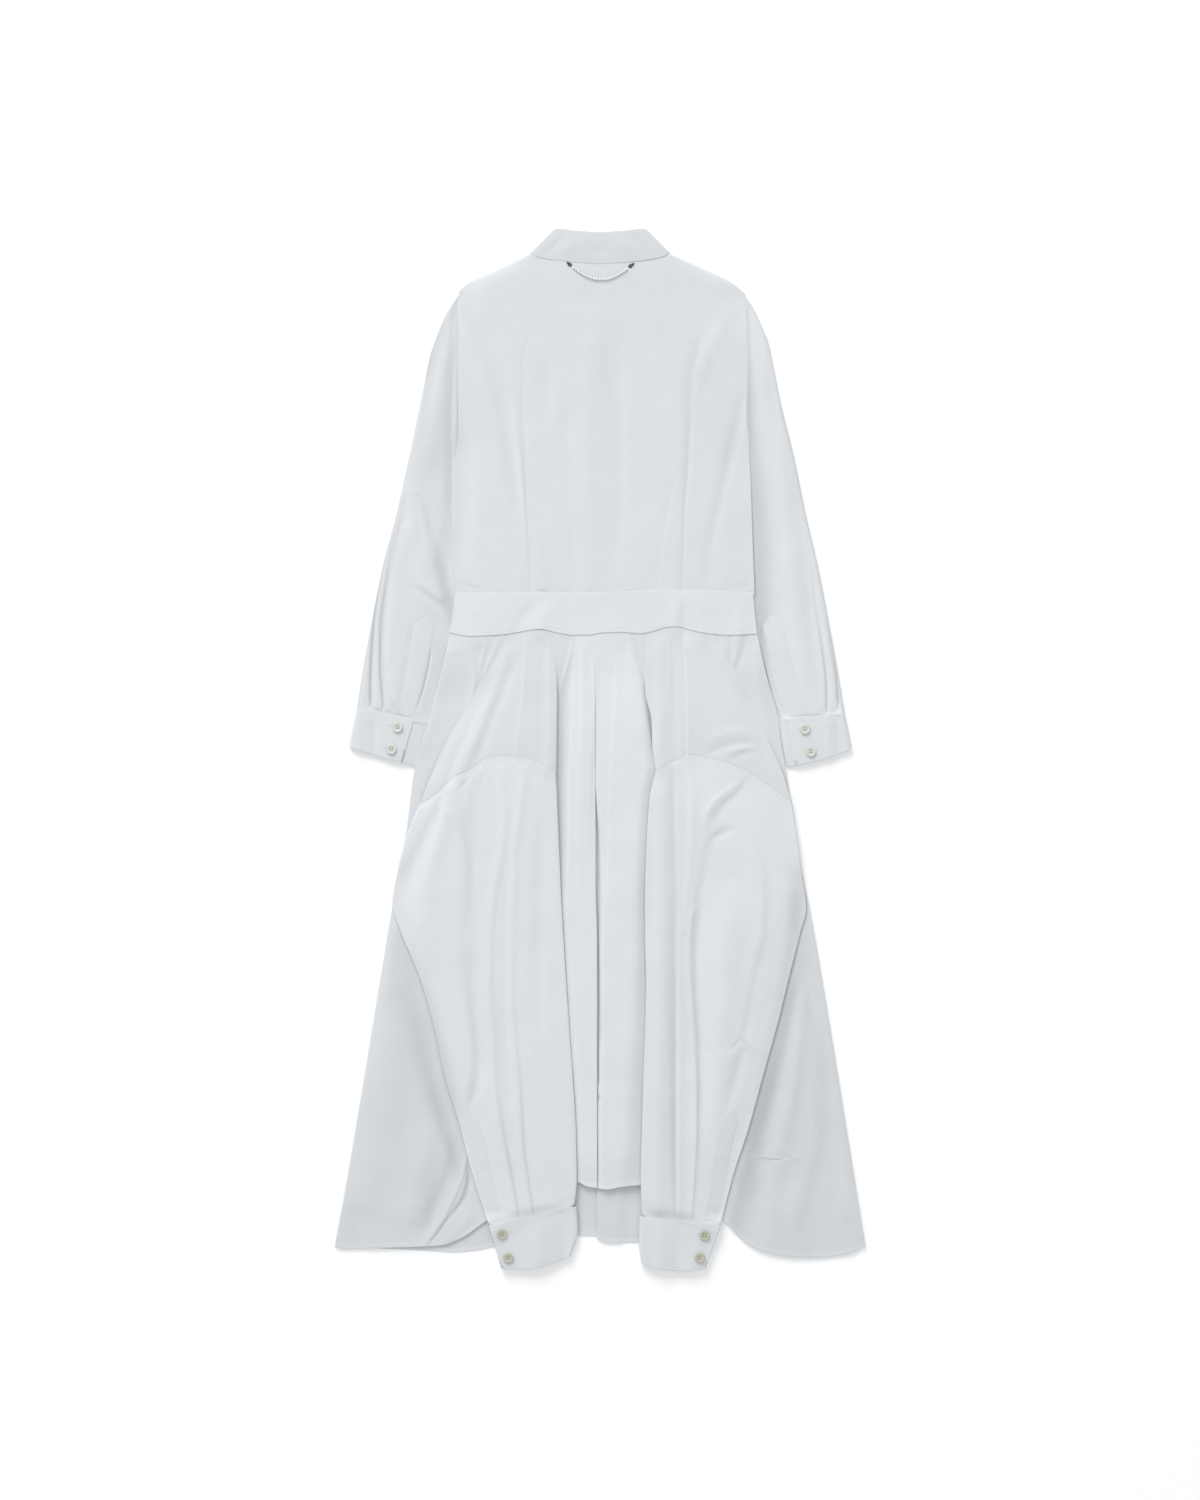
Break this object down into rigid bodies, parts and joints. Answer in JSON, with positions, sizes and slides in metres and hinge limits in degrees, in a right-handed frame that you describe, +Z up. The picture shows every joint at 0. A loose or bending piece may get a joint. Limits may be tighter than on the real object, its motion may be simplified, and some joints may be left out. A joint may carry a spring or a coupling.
{
  "type": "shirt dress",
  "caption": "Long-sleeved shirt dress laid flat on its front, with a free waistband, a wide skirt, spare sleeves hanging over the skirt back and a small pearl chain at the collar.",
  "frame": {"origin": "centre of the bounding box's underside, on the surface that the dress lies on", "axes": "+Y along the dress towards the collar, +Z up from the surface, +X to the right seen from above"},
  "size_m": [0.6631, 1.3012, 0.013],
  "materials": {
    "poplin": "matt, fine plain weave",
    "button_shell": "pale shell, polished",
    "pearl": "pearly",
    "dark_steel": "dark, satin"
  },
  "bodies": {
    "root": {"collar_fall": "poplin", "collar_stand": "poplin", "shirt_back": "poplin", "front_left": "poplin", "front_right": "poplin", "waistband": "poplin", "sleeve_left": "poplin", "sleeve_right": "poplin", "placket_left": "poplin", "placket_right": "poplin", "cuff_left": "poplin", "cuff_right": "poplin", "skirt_back_left": "poplin", "skirt_back_right": "poplin", "skirt_front_left": "poplin", "skirt_front_right": "poplin", "hung_shoulder_left": "poplin", "hung_shoulder_right": "poplin", "hung_sleeve_left": "poplin", "hung_sleeve_right": "poplin", "hung_placket_left": "poplin", "hung_placket_right": "poplin", "hung_cuff_left": "poplin", "hung_cuff_right": "poplin", "button_left_upper": "button_shell", "button_left_lower": "button_shell", "button_right_upper": "button_shell", "button_right_lower": "button_shell", "hung_button_left_upper": "button_shell", "hung_button_left_lower": "button_shell", "hung_button_right_upper": "button_shell", "hung_button_right_lower": "button_shell", "pearl_chain": "pearl", "chain_ring_left": "dark_steel", "chain_ring_right": "dark_steel"}
  },
  "joints": []
}
